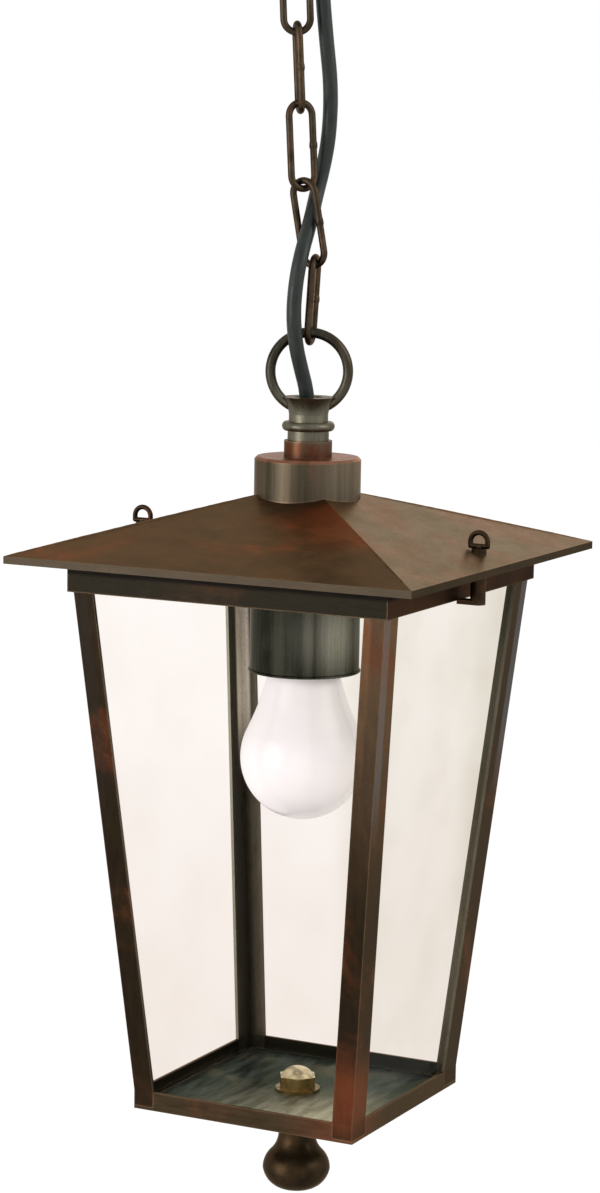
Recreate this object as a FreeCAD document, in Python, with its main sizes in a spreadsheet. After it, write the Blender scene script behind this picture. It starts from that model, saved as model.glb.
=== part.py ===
import FreeCAD, Part
import math
import operator
import os
import types
import Sketcher

# A square glazed lantern that hangs by a chain from a ceiling canopy, with a lamp inside.
# Millimetres, +Z up, origin at the middle of the ceiling face. The lantern's own pieces are
# drawn about its vertical axis with height 0 at the eave, and are then hung from the chain.

DRIVING_SIZES = {
    # ceiling fitting
    "canopy_room": 4.0,
    "canopy_depth": 33.0,
    "canopy_shoulder": 17.0,
    "canopy_rim": 4.0,
    "bracket_width": 22.0,
    "bracket_metal": 3.0,
    "bracket_drop": 12.0,
    "bracket_bridge": 29.0,
    "bracket_length": 88.0,
    "ceiling_screw_edge": 6.0,
    "ceiling_screw_hole": 4.5,
    "terminal_width": 12.0,
    "terminal_height": 10.0,
    "loop_thread": 8.0,
    "loop_nut_flats": 13.0,
    "loop_nut_height": 6.0,
    "loop_collar_radius": 6.2,
    "loop_collar_height": 4.0,
    "loop_ring_width": 32.0,
    "loop_wire": 4.5,
    "grommet_offset": 13.0,
    "grommet_flange": 1.2,
    "grommet_wall": 1.5,
    # chain and cable
    "link_wire": 3.3,
    "link_length": 43.15,
    "link_width": 15.7,
    "link_play": 0.45,
    "ring_turn": 27.0,
    "cable_diameter": 7.0,
    "cable_joint_gap": 0.7,
    # hanging ring
    "ring_width": 41.4,
    "ring_wire": 4.8,
    "ring_height": 40.2,
    "hanger_collar_radius": 11.4,
    "hanger_collar_height": 7.7,
    "hanger_neck_radius": 9.8,
    "hanger_neck_height": 4.7,
    "hanger_bead_radius": 11.4,
    "hanger_bead_height": 4.1,
    "hanger_bead_bulge": 1.1,
    "hanger_waist_radius": 9.3,
    "hanger_waist_height": 3.5,
    "hanger_flare_radius": 12.5,
    "hanger_flare_height": 8.2,
    "hanger_flare_bend": 17.7,
    "hanger_mouth_radius": 7.0,
    # stem that clamps neck, roof and lamp cup
    "stem_diameter": 12.0,
    "stem_bore": 8.8,
    "stem_nut_flats": 17.0,
    "stem_nut_height": 5.0,
    "thread_play": 0.05,
    "hole_play": 0.2,
    # roof
    "eave_side": 208.0,
    "roof_pitch": 17.0,
    "roof_sheet": 1.2,
    "lip_height": 3.5,
    "lip_below_eave": 2.5,
    "roof_top_side": 24.0,
    "neck_radius": 25.3,
    "neck_top": 45.0,
    # glazed body
    "rail_side": 165.0,
    "rail_metal": 1.2,
    "rail_bottom": 16.4,
    "shelf_edge": 4.5,
    "shelf_depth": 4.0,
    "post_leg": 10.4,
    "post_side_leg": 14.0,
    "post_metal": 1.5,
    "post_top": 6.0,
    "body_depth": 267.0,
    "base_side": 116.2,
    "base_height": 9.0,
    "base_metal": 1.5,
    "base_shelf": 8.0,
    "plate_metal": 1.5,
    "pane_thickness": 3.0,
    "pane_top": 5.0,
    "pane_play": 0.3,
    "clip_width": 12.0,
    "clip_metal": 1.0,
    "clip_drop": 10.0,
    # bottom knob
    "stud_diameter": 6.0,
    "stud_in_finial": 25.0,
    "washer_radius": 10.8,
    "washer_height": 1.2,
    "cap_nut_flats": 16.5,
    "cap_nut_height": 6.0,
    "cap_dome_radius": 8.0,
    "cap_dome_height": 4.5,
    "finial_collar_radius": 10.0,
    "finial_collar_height": 3.0,
    "finial_neck_radius": 8.9,
    "finial_neck_height": 16.5,
    "finial_cove_height": 9.8,
    "finial_cove_bend": 13.5,
    "finial_shoulder_radius": 12.9,
    "finial_shoulder_height": 8.4,
    "finial_shoulder_bend": 11.8,
    "finial_radius": 16.4,
    "finial_bowl_height": 9.9,
    "finial_bowl_bend": 12.0,
    "finial_toe_radius": 7.0,
    # lamp
    "cup_radius": 26.2,
    "cup_top": 4.0,
    "cup_height": 61.7,
    "cup_metal": 1.0,
    "holder_radius": 20.0,
    "holder_height": 33.0,
    "holder_cap_height": 12.0,
    "holder_cap_metal": 1.5,
    "holder_boss_wall": 3.0,
    "socket_radius": 14.2,
    "socket_roof": 4.0,
    "shell_metal": 0.6,
    "shell_length": 29.0,
    "contact_radius": 3.5,
    "contact_height": 2.4,
    "bulb_radius": 30.0,
    "bulb_length": 109.0,
    "bulb_neck_radius": 14.5,
    "bulb_cap_radius": 13.2,
    "bulb_cap_length": 27.0,
    "bulb_shoulder_radius": 26.8,
    "bulb_shoulder_rise": 13.5,
    "bulb_neck_bend": 150.0,
    "bulb_tip_radius": 4.6,
    "bulb_tip_height": 4.0,
    # roof latches
    "latch_gap": 7.0,
    "latch_stem": 3.6,
    "latch_boss_radius": 3.6,
    "latch_wire": 2.4,
    "latch_handle_width": 11.0,
    "latch_handle_rise": 2.0,
    "latch_foot_width": 7.0,
    "latch_foot_height": 2.0,
    "latch_foot_grip": 2.2,
    "latch_play": 0.3,
    "bush_radius": 3.5,
    "bush_height": 2.2,
}

# Each link's turn about the vertical from the flat of the hanging ring, and its lean sideways
# from plumb, both in degrees from the top link down: the stiff cable pushes the chain askew.
LINK_TURNS = (0.0, 98.0, 30.0, -35.0, 77.0)
LINK_LEANS = (2.8, 3.1, 3.2, 9.5, -3.0)

# The cable's route from the terminal block to the hanging ring's mouth, as distances across the
# ring, through the ring and up, from the ceiling face. It runs beside the upper links, passes
# through the fourth link and comes down in front of the fifth.
CABLE_ROUTE = (
    (13.0, 0.0, -22.0),
    (13.0, 0.0, -39.0),
    (12.5, 2.4, -58.2),
    (12.9, 4.4, -80.2),
    (15.2, 6.4, -102.8),
    (17.9, 7.5, -125.4),
    (17.4, 8.8, -147.0),
    (14.9, 9.7, -162.2),
    (12.0, 8.2, -174.1),
    (9.0, 0.6, -188.3),
    (5.1, -7.6, -202.5),
    (2.8, -9.6, -215.3),
    (1.8, -9.8, -230.1),
    (3.1, -7.6, -244.7),
    (6.0, -4.3, -256.8),
    (8.6, -1.5, -266.4),
    (9.77, 0.0, -276.6),
)

doc = FreeCAD.newDocument("hanging_lantern")
sheet = doc.addObject("Spreadsheet::Sheet", "Sizes")
for row, (alias, value) in enumerate(DRIVING_SIZES.items(), start=1):
    sheet.set(f"A{row}", alias)
    sheet.set(f"B{row}", str(value))
    sheet.setAlias(f"B{row}", alias)
doc.recompute()

ACTIONS = {"+": operator.add, "-": operator.sub, "*": operator.mul, "/": operator.truediv}


class Size:
    """A size held both as a number and as its formula on the sheet, so that the two agree."""

    def __init__(self, number, formula=None):
        self.number = float(number)
        self.formula = formula or f"{self.number:.9g}"

    def joined(self, sign, other, swapped=False):
        other = other if isinstance(other, Size) else Size(other)
        left, right = (other, self) if swapped else (self, other)
        number = ACTIONS[sign](left.number, right.number)
        return Size(number, f"({left.formula} {sign} {right.formula})")

    def __add__(self, other):
        return self.joined("+", other)

    def __radd__(self, other):
        return self.joined("+", other, swapped=True)

    def __sub__(self, other):
        return self.joined("-", other)

    def __rsub__(self, other):
        return self.joined("-", other, swapped=True)

    def __mul__(self, other):
        return self.joined("*", other)

    def __rmul__(self, other):
        return self.joined("*", other, swapped=True)

    def __truediv__(self, other):
        return self.joined("/", other)

    def __neg__(self):
        return self.joined("-", 0, swapped=True)


def tangent(angle):
    return Size(math.tan(math.radians(angle.number)), f"tan({angle.formula} * 1 deg)")


def cosine(angle):
    return Size(math.cos(math.radians(angle.number)), f"cos({angle.formula} * 1 deg)")


def size_of(value):
    return value if isinstance(value, Size) else Size(value)


size = types.SimpleNamespace(**{alias: Size(sheet.get(alias), f"Sizes.{alias}") for alias in DRIVING_SIZES})
NOTHING = Size(0)
nodes = []


def bind(thing, **formulas):
    """Ties properties of an object to the sheet."""
    for name, value in formulas.items():
        thing.setExpression(name, size_of(value).formula)


def put(thing, x=NOTHING, y=NOTHING, z=NOTHING):
    """Ties an object's place to the sheet."""
    for letter, value in zip("xyz", (x, y, z)):
        thing.setExpression(f"Placement.Base.{letter}", size_of(value).formula)


def block(name, x, y, z):
    """A box between the low and high values given for each direction."""
    thing = doc.addObject("Part::Box", name)
    bind(thing, Length=x[1] - x[0], Width=y[1] - y[0], Height=z[1] - z[0])
    put(thing, x[0], y[0], z[0])
    return thing


def square(name, half, low, high):
    """A square slab about the axis."""
    return block(name, (-half, half), (-half, half), (low, high))


def rod(name, radius, low, high, x=NOTHING, y=NOTHING):
    """An upright cylinder."""
    thing = doc.addObject("Part::Cylinder", name)
    bind(thing, Radius=radius, Height=high - low)
    put(thing, x, y, low)
    return thing


def hung_rod(name, radius, low, high):
    """An upright cylinder on the lantern's own axis."""
    drop = Size(hung.Base.z)
    return rod(name, radius, low + drop, high + drop, Size(hung.Base.x), Size(hung.Base.y))


def hexagon(name, flats, low, high):
    """An upright hexagonal prism, given across its flats."""
    thing = doc.addObject("Part::Prism", name)
    thing.Polygon = 6
    bind(thing, Circumradius=flats / 2 / cosine(Size(30)), Height=high - low)
    put(thing, z=low)
    return thing


def frustum(name, half_low, half_high, low, high):
    """A square pyramid with its top cut off, drawn lying down and stood up."""
    thing = doc.addObject("Part::Wedge", name)
    bind(thing, Xmin=-half_low, Xmax=half_low, Zmin=-half_low, Zmax=half_low, Ymin=low, Ymax=high)
    bind(thing, X2min=-half_high, X2max=half_high, Z2min=-half_high, Z2max=half_high)
    thing.Placement.Rotation = FreeCAD.Rotation(FreeCAD.Vector(1, 0, 0), 90)
    return thing


def bent_wire(name, bend_radius, wire_radius, height, sweep=360.0, start=0.0):
    """A ring of round wire, or an arc of one, that stands in the XZ plane."""
    thing = doc.addObject("Part::Torus", name)
    thing.Angle3 = sweep
    bind(thing, Radius1=bend_radius, Radius2=wire_radius)
    put(thing, z=height)
    upright = FreeCAD.Rotation(FreeCAD.Vector(1, 0, 0), 90)
    thing.Placement.Rotation = upright * FreeCAD.Rotation(FreeCAD.Vector(0, 0, 1), start)
    return thing


def fused(name, *pieces):
    thing = doc.addObject("Part::MultiFuse", name)
    thing.Shapes = list(pieces)
    return thing


def cut(name, base, *tools):
    thing = doc.addObject("Part::Cut", name)
    thing.Base = base
    thing.Tool = tools[0] if len(tools) == 1 else fused(name + "_tools", *tools)
    return thing


def origin_plane(body, role):
    return next(plane for plane in body.Origin.OriginFeatures if plane.Role == role)


def arc_middle(start, end, bend):
    """The middle of an arc; a positive radius bends it to the right of the way it runs."""
    chord = end - start
    sideways = FreeCAD.Vector(chord.y, -chord.x, 0).normalize()
    radius = abs(bend)
    rise = radius - math.sqrt(radius**2 - (chord.Length / 2) ** 2)
    return (start + end) * 0.5 + sideways * math.copysign(rise, bend)


def bend_of(half_chord, rise):
    """The radius of an arc that rises this far over its chord."""
    return (half_chord * half_chord / rise + rise) / 2


def outline(body, name, role, corners):
    """A closed sketch. Each corner is two sizes, and a third is the radius of the arc to the next."""
    sketch = body.newObject("Sketcher::SketchObject", name)
    sketch.AttachmentSupport = [(origin_plane(body, role), "")]
    sketch.MapMode = "FlatFace"
    corners = [tuple(size_of(value) for value in corner) for corner in corners]
    points = [FreeCAD.Vector(corner[0].number, corner[1].number, 0) for corner in corners]
    ends = []
    for index, corner in enumerate(corners):
        start, end = points[index], points[(index + 1) % len(points)]
        if len(corner) == 2:
            sketch.addGeometry(Part.LineSegment(start, end), False)
            ends.append((1, 2))
            continue
        bend = corner[2].number
        sketch.addGeometry(Part.Arc(start, arc_middle(start, end, bend), end), False)
        ends.append((1, 2) if bend > 0 else (2, 1))
        radius = sketch.addConstraint(Sketcher.Constraint("Radius", index, abs(bend)))
        sketch.setExpression(f"Constraints[{radius}]", (corner[2] if bend > 0 else -corner[2]).formula)
    for index, corner in enumerate(corners):
        before = index - 1 if index else len(corners) - 1
        first, last = ends[index][0], ends[before][1]
        sketch.addConstraint(Sketcher.Constraint("Coincident", before, last, index, first))
        for kind, axis, value in (("DistanceX", -2, corner[0]), ("DistanceY", -1, corner[1])):
            if abs(value.number) < 1e-9:
                sketch.addConstraint(Sketcher.Constraint("PointOnObject", index, first, axis))
                continue
            number = sketch.addConstraint(Sketcher.Constraint(kind, -1, 1, index, first, value.number))
            sketch.setExpression(f"Constraints[{number}]", value.formula)
    return sketch


def turned(name, corners):
    """A piece turned on a lathe: corners are radius and height, about the vertical axis."""
    body = doc.addObject("PartDesign::Body", name)
    profile = outline(body, name + "_profile", "XZ_Plane", corners)
    spin = body.newObject("PartDesign::Revolution", name + "_turning")
    spin.Profile = profile
    spin.ReferenceAxis = (profile, ["V_Axis"])
    spin.Angle = 360
    return body


def folded(name, role, corners, width):
    """A strip or plate of even section, padded from its outline on an origin plane."""
    body = doc.addObject("PartDesign::Body", name)
    profile = outline(body, name + "_profile", role, corners)
    pad = body.newObject("PartDesign::Pad", name + "_pad")
    pad.Profile = profile
    pad.Reversed = True
    bind(pad, Length=width)
    return body


def node(thing, label, placement=None):
    """Names a finished piece and sets it in its place."""
    thing.Label = label
    if placement is not None:
        thing.Placement = placement
    nodes.append(thing)
    return thing


def turn(axis, angle):
    return FreeCAD.Rotation(axis, angle)


UP = FreeCAD.Vector(0, 0, 1)
SIDE = FreeCAD.Vector(1, 0, 0)
flat_turn = turn(UP, size.ring_turn.number)
across = flat_turn.multVec(SIDE)
through = flat_turn.multVec(FreeCAD.Vector(0, 1, 0))

# Chain: where each link hangs, worked down from the ceiling loop
loop_bend = size.loop_ring_width / 2 - size.loop_wire / 2
loop_centre = -(size.canopy_depth + size.loop_ring_width / 2 + size.loop_collar_height / 2)
link_bend = size.link_width / 2 - size.link_wire / 2
link_leg = size.link_length - size.link_width
link_crown = size.link_length / 2 - size.link_wire / 2
ring_bend = size.ring_width / 2 - size.ring_wire / 2

bearing = FreeCAD.Vector(0, 0, (loop_centre - loop_bend).number)
bearing_wire = size.loop_wire
link_placements = []
pivots = [(bearing, through)]
for turn_angle, lean in zip(LINK_TURNS, LINK_LEANS):
    rotation = turn(through, -lean) * flat_turn * turn(UP, turn_angle)
    upward = rotation.multVec(UP)
    lift = (bearing_wire + size.link_wire) / 2 + size.link_play
    centre = bearing + upward * (lift - link_crown).number
    link_placements.append(FreeCAD.Placement(centre, rotation))
    bearing = centre - upward * link_crown.number
    bearing_wire = size.link_wire
    pivots.append((bearing, rotation.multVec(SIDE)))
ring_lift = (size.link_wire + size.ring_wire) / 2 + size.link_play
ring_centre = bearing + UP * (ring_lift - ring_bend).number

# The lantern hangs plumb below its ring
ring_above_eave = size.neck_top + size.ring_height
hung = FreeCAD.Placement(ring_centre - UP * ring_above_eave.number, FreeCAD.Rotation())

# Ceiling bracket: a strip bent down in the middle, with a screw hole in each foot
bridge_half = size.bracket_bridge / 2
foot_half = size.bracket_length / 2
strip_half = size.bracket_width / 2
bridge_low = -size.bracket_drop
bridge_high = bridge_low + size.bracket_metal
strip = folded(
    "bracket_strip",
    "XZ_Plane",
    [
        (-foot_half, NOTHING),
        (-foot_half, -size.bracket_metal),
        (-bridge_half, -size.bracket_metal),
        (-bridge_half, bridge_low),
        (bridge_half, bridge_low),
        (bridge_half, -size.bracket_metal),
        (foot_half, -size.bracket_metal),
        (foot_half, NOTHING),
        (bridge_half - size.bracket_metal, NOTHING),
        (bridge_half - size.bracket_metal, bridge_high),
        (size.bracket_metal - bridge_half, bridge_high),
        (size.bracket_metal - bridge_half, NOTHING),
    ],
    size.bracket_width,
)
put(strip, y=-strip_half)
shank_hole = size.loop_thread / 2 + size.hole_play
screw_x = foot_half - size.ceiling_screw_edge
bracket_holes = [rod("bracket_shank_hole", shank_hole, bridge_low, bridge_high)]
for name, x in (("left", -screw_x), ("right", screw_x)):
    bracket_holes.append(
        rod(f"bracket_{name}_hole", size.ceiling_screw_hole / 2, -size.bracket_metal, NOTHING, x)
    )
node(cut("bracket_drilled", strip, *bracket_holes), "ceiling_bracket")

# Canopy: a spun cup over the bracket, open to the ceiling
sheet_metal = size.roof_sheet
canopy_floor = -size.canopy_depth
canopy_bend = size.canopy_depth
canopy_radius = foot_half + size.canopy_room
crown_radius = canopy_radius - size.canopy_shoulder
cup = turned(
    "canopy_cup",
    [
        (canopy_radius, NOTHING),
        (canopy_radius, -size.canopy_rim, -canopy_bend),
        (crown_radius, canopy_floor),
        (NOTHING, canopy_floor),
        (NOTHING, canopy_floor + sheet_metal),
        (crown_radius, canopy_floor + sheet_metal, canopy_bend - sheet_metal),
        (canopy_radius - sheet_metal, -size.canopy_rim),
        (canopy_radius - sheet_metal, NOTHING),
    ],
)
grommet_x = size.grommet_offset * across.x
grommet_y = size.grommet_offset * across.y
grommet_hole = size.cable_diameter / 2 + size.hole_play
grommet_body = grommet_hole + size.grommet_wall
canopy_holes = [
    rod("canopy_shank_hole", shank_hole, canopy_floor, canopy_floor + sheet_metal),
    rod("canopy_cable_hole", grommet_body, canopy_floor, canopy_floor + sheet_metal, grommet_x, grommet_y),
]
node(cut("canopy_drilled", cup, *canopy_holes), "ceiling_canopy")

# Grommet: a rubber ring in the canopy's cable hole, with a flange on each side
grommet_low = canopy_floor - size.grommet_flange
grommet_high = canopy_floor + sheet_metal + size.grommet_flange
grommet_lip = grommet_body + size.grommet_flange
grommet = fused(
    "grommet_solid",
    rod("grommet_neck", grommet_body, grommet_low, grommet_high, grommet_x, grommet_y),
    rod("grommet_lower_lip", grommet_lip, grommet_low, canopy_floor, grommet_x, grommet_y),
    rod("grommet_upper_lip", grommet_lip, canopy_floor + sheet_metal, grommet_high, grommet_x, grommet_y),
)
grommet_bore = rod("grommet_bore", grommet_hole, grommet_low, grommet_high, grommet_x, grommet_y)
node(cut("grommet_bored", grommet, grommet_bore), "canopy_grommet")

# Ceiling loop: an eye with a threaded shank, held to the bridge by a nut above and one below
shank_top = bridge_high + size.loop_nut_height
eye = bent_wire("loop_eye", loop_bend, size.loop_wire / 2, loop_centre)
eye.Placement.Rotation = flat_turn * turn(UP, 90) * eye.Placement.Rotation
shank_radius = size.loop_thread / 2 - size.thread_play
loop = fused(
    "loop_solid",
    eye,
    rod("loop_collar", size.loop_collar_radius, canopy_floor - size.loop_collar_height, canopy_floor),
    rod("loop_shank", shank_radius, canopy_floor, shank_top),
)
node(loop, "ceiling_loop")
nut_bore = size.loop_thread / 2
lock_nuts = []
for name, low in (("upper", bridge_high), ("lower", bridge_low - size.loop_nut_height)):
    high = low + size.loop_nut_height
    nut = hexagon(f"loop_{name}_nut", size.loop_nut_flats, low, high)
    lock_nuts.append(cut(f"loop_{name}_nut_bored", nut, rod(f"loop_{name}_nut_bore", nut_bore, low, high)))
node(fused("loop_nut_pair", *lock_nuts), "loop_lock_nuts")

# Terminal block: hangs under the bridge, over the grommet
terminal_in = size.loop_nut_flats / 2 / cosine(Size(30)) + size.hole_play
terminal = block(
    "terminal_case",
    (terminal_in, terminal_in + size.terminal_width),
    (-strip_half, strip_half),
    (bridge_low - size.terminal_height, bridge_low),
)
node(terminal, "terminal_block")

# Chain links: round wire bent to an oval and welded
for number, placement in enumerate(link_placements, start=1):
    pieces = []
    for name, height, start in (("top", link_leg / 2, 0.0), ("bottom", -(link_leg / 2), 180.0)):
        pieces.append(
            bent_wire(f"link_{number}_{name}", link_bend, size.link_wire / 2, height, 180.0, start)
        )
    for name, x in (("left", -link_bend), ("right", link_bend)):
        low, high = -(link_leg / 2), link_leg / 2
        pieces.append(rod(f"link_{number}_{name}", size.link_wire / 2, low, high, x))
    node(fused(f"link_{number}", *pieces), f"chain_link_{number}", placement)


def cable_path(points):
    """Straight runs joined by tangent arcs, each as large as its two runs allow."""
    edges = []
    start = points[0]
    for before, corner, after in zip(points, points[1:], points[2:]):
        run_in, run_out = (corner - before), (after - corner)
        bend = run_in.getAngle(run_out)
        setback = 0.45 * min(run_in.Length, run_out.Length)
        radius = setback / math.tan(bend / 2)
        print(f"cable bend radius {radius:.1f}")
        enter = corner - run_in.normalize() * setback
        leave = corner + run_out.normalize() * setback
        inward = (run_out - run_in).normalize()
        middle = corner + inward * (radius / math.cos(bend / 2) - radius)
        edges.append(Part.LineSegment(start, enter).toShape())
        edges.append(Part.Arc(enter, middle, leave).toShape())
        start = leave
    edges.append(Part.LineSegment(start, points[-1]).toShape())
    return Part.Wire(edges)


# Supply cable: round rubber cable laced through the chain
route = [across * along + through * away + UP * height for along, away, height in CABLE_ROUTE]
path = cable_path(route)
cable_radius = size.cable_diameter / 2
section = Part.Wire(Part.makeCircle(cable_radius.number, route[0], route[1] - route[0]))
cable = doc.addObject("Part::Feature", "cable_tube")
cable.Shape = path.makePipeShell([section], True, False)
tube_volume = math.pi * cable_radius.number**2 * path.Length
print(f"cable length {path.Length:.1f}, volume ratio {cable.Shape.Volume / tube_volume:.5f}")
node(cable, "supply_cable")

# Roof: one folded pyramid of sheet with a turned-down lip
slope = tangent(size.roof_pitch)
sheet_drop = size.roof_sheet / cosine(size.roof_pitch)
eave_half = size.eave_side / 2
top_half = size.roof_top_side / 2
lip_low = -size.lip_below_eave
eave_high = lip_low + size.lip_height


def roof_height(half):
    """Height of the roof's upper face at a distance from the axis."""
    return eave_high + (eave_half - half) * slope


def roof_underside(half):
    return roof_height(half) - sheet_drop


def roof_block(name):
    return frustum(name, eave_half, top_half, eave_high, roof_height(top_half))


lip_half = eave_half - size.roof_sheet
roof_lip = square("roof_lip", eave_half, lip_low, eave_high)
roof_solid = fused("roof_solid", roof_lip, roof_block("roof_pyramid"))
roof_hollow = fused(
    "roof_hollow",
    square("roof_lip_inside", lip_half, lip_low, roof_underside(lip_half)),
    frustum("roof_inside", lip_half, top_half, roof_underside(lip_half), roof_underside(top_half)),
)
stem_hole = size.stem_diameter / 2 + size.hole_play
latch_hole = size.latch_stem / 2 + 2 * size.hole_play
latch_low = -size.rail_bottom - size.latch_play
rail_half = size.rail_side / 2
latch_reach = rail_half + size.latch_gap
roof_top = roof_height(top_half)
roof_holes = [rod("roof_stem_hole", stem_hole, roof_underside(top_half), roof_top)]
for name, x in (("left", -latch_reach), ("right", latch_reach)):
    roof_holes.append(rod(f"roof_{name}_latch_hole", latch_hole, lip_low, roof_top, x))
roof_shell = cut("roof_shell", roof_solid, roof_hollow)
node(cut("roof_drilled", roof_shell, *roof_holes), "roof", hung)

# Neck drum: a spun cup turned over, with its open edge fitted to the roof's slopes
drum_inside = size.neck_radius - sheet_metal
drum_ceiling = size.neck_top - sheet_metal
drum_foot = roof_height(size.neck_radius)
drum = turned(
    "neck_cup",
    [
        (stem_hole, drum_ceiling),
        (stem_hole, size.neck_top),
        (size.neck_radius - sheet_metal, size.neck_top),
        (size.neck_radius, size.neck_top - sheet_metal),
        (size.neck_radius, drum_foot),
        (drum_inside, drum_foot),
        (drum_inside, drum_ceiling),
    ],
)
node(cut("neck_fitted", drum, roof_block("neck_seat")), "neck_drum", hung)

# Hanging ring: one casting, a turned foot with a ring on top, bored through for the cable
foot = size.neck_top
collar_top = foot + size.hanger_collar_height
bead_low = collar_top + size.hanger_neck_height
bead_high = bead_low + size.hanger_bead_height
waist = bead_high + size.hanger_waist_height
hanger_top = waist + size.hanger_flare_height
bead_bend = bend_of(size.hanger_bead_height / 2, size.hanger_bead_bulge)
hanger_foot = turned(
    "hanger_foot",
    [
        (NOTHING, foot),
        (size.hanger_collar_radius, foot),
        (size.hanger_collar_radius, collar_top),
        (size.hanger_neck_radius, collar_top),
        (size.hanger_neck_radius, bead_low),
        (size.hanger_bead_radius, bead_low, bead_bend),
        (size.hanger_bead_radius, bead_high),
        (size.hanger_waist_radius, bead_high),
        (size.hanger_waist_radius, waist, -size.hanger_flare_bend),
        (size.hanger_flare_radius, hanger_top),
        (NOTHING, hanger_top),
    ],
)
hanger_ring = bent_wire("hanger_ring", ring_bend, size.ring_wire / 2, ring_above_eave)
hanger_ring.Placement.Rotation = flat_turn * hanger_ring.Placement.Rotation
cable_bore = size.stem_bore / 2
funnel = doc.addObject("Part::Cone", "hanger_funnel")
bind(funnel, Radius1=cable_bore, Radius2=size.hanger_mouth_radius, Height=hanger_top - waist)
put(funnel, z=waist)
hanger_bores = [
    rod("hanger_socket", size.stem_diameter / 2, foot, collar_top),
    rod("hanger_bore", cable_bore, collar_top, waist),
    funnel,
]
hanger_solid = fused("hanger_solid", hanger_foot, hanger_ring)
node(cut("hanger_bored", hanger_solid, *hanger_bores), "hanger_loop", hung)

# Stem: a threaded tube from the hanging ring's foot down to the lampholder, with lock nuts
cup_ceiling = size.cup_top - size.cup_metal
nut_high = size.stem_nut_height
holder_top = cup_ceiling - nut_high
holder_seat = holder_top - size.holder_cap_height
stem_low = holder_top - size.holder_cap_height / 2
stem_radius = size.stem_diameter / 2 - size.thread_play
stem = cut(
    "stem_bored",
    rod("stem_outside", stem_radius, stem_low, collar_top),
    rod("stem_inside", cable_bore, stem_low, collar_top),
)
node(stem, "stem_tube", hung)
stem_nuts = []
nut_lows = (
    ("roof", roof_underside(top_half) - nut_high),
    ("cup_upper", size.cup_top),
    ("cup_lower", holder_top),
)
for name, low in nut_lows:
    nut = hexagon(f"stem_{name}_nut", size.stem_nut_flats, low, low + nut_high)
    bore = rod(f"stem_{name}_nut_bore", size.stem_diameter / 2, low, low + nut_high)
    stem_nuts.append(cut(f"stem_{name}_nut_bored", nut, bore))
node(fused("stem_nut_set", *stem_nuts), "stem_nuts", hung)
cable_end = Size(CABLE_ROUTE[-1][2] - hung.Base.z) - size.cable_joint_gap
node(hung_rod("stem_cable_core", cable_radius, holder_seat, cable_end), "stem_cable")

# Top frame: four rails soldered into a square, with a shelf that runs out under the eave
rail_inside = rail_half - size.rail_metal
shelf_low = -size.shelf_depth
rail_high = roof_underside(rail_half)
top_frame = fused(
    "top_frame_solid",
    square("rail_wall", rail_half, -size.rail_bottom, rail_high),
    square("rail_shelf", latch_reach + size.shelf_edge, shelf_low, shelf_low + size.rail_metal),
)
frame_holes = [square("rail_opening", rail_inside, -size.rail_bottom, rail_high)]
for name, x in (("left", -latch_reach), ("right", latch_reach)):
    frame_holes.append(
        rod(f"shelf_{name}_latch_hole", latch_hole, shelf_low, shelf_low + size.rail_metal, x)
    )
node(cut("top_frame_cut", top_frame, *frame_holes), "top_frame", hung)

# Base frame: a low square tray edge, open at its corners, whose shelf carries posts and base plate
base_half = size.base_side / 2
base_low = -size.body_depth
base_high = base_low + size.base_height
base_inside = base_half - size.base_metal
plate_low = base_low + size.base_metal
plate_high = plate_low + size.plate_metal
front_end = base_half - size.post_leg
side_end = base_half - size.post_side_leg
corner_notches = []
for name, x, y in (
    ("front_right", 1, -1),
    ("back_right", 1, 1),
    ("back_left", -1, 1),
    ("front_left", -1, -1),
):
    for wall, x_from, y_from in (("side", base_inside, side_end), ("end", front_end, base_inside)):
        x_span = (x_from, base_half) if x > 0 else (-base_half, -x_from)
        y_span = (y_from, base_half) if y > 0 else (-base_half, -y_from)
        corner_notches.append(block(f"base_{name}_{wall}_notch", x_span, y_span, (plate_low, base_high)))
base_frame = cut(
    "base_frame_cut",
    square("base_block", base_half, base_low, base_high),
    square("base_inside", base_inside, plate_low, base_high),
    square("base_opening", base_inside - size.base_shelf, base_low, plate_low),
    *corner_notches,
)
node(base_frame, "base_frame", hung)
stud_hole = size.stud_diameter / 2 + size.hole_play
plate_half = base_inside - size.hole_play
plate = cut(
    "base_plate_drilled",
    square("base_plate_blank", plate_half, plate_low, plate_high),
    rod("base_plate_hole", stud_hole, plate_low, plate_high),
)
node(plate, "base_plate", hung)

# Corner posts: four angles that stand on the base frame and lean out to the inside of the top rails
post_high = -size.post_top
post_top_half = rail_inside - size.thread_play


def angle_section(body, name, legs, corner_half, height):
    """An angle's section, with its outer corner at the given distance both ways."""
    inner = corner_half - size.post_metal
    x_end = corner_half - legs[0]
    y_end = corner_half - legs[1]
    sketch = outline(
        body,
        name,
        "XY_Plane",
        [
            (corner_half, corner_half),
            (x_end, corner_half),
            (x_end, inner),
            (inner, inner),
            (inner, y_end),
            (corner_half, y_end),
        ],
    )
    sketch.setExpression("AttachmentOffset.Base.z", height.formula)
    return sketch


def quarter(angle):
    """The lantern's place with a piece turned to another side."""
    return FreeCAD.Placement(hung.Base, turn(UP, angle))


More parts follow.
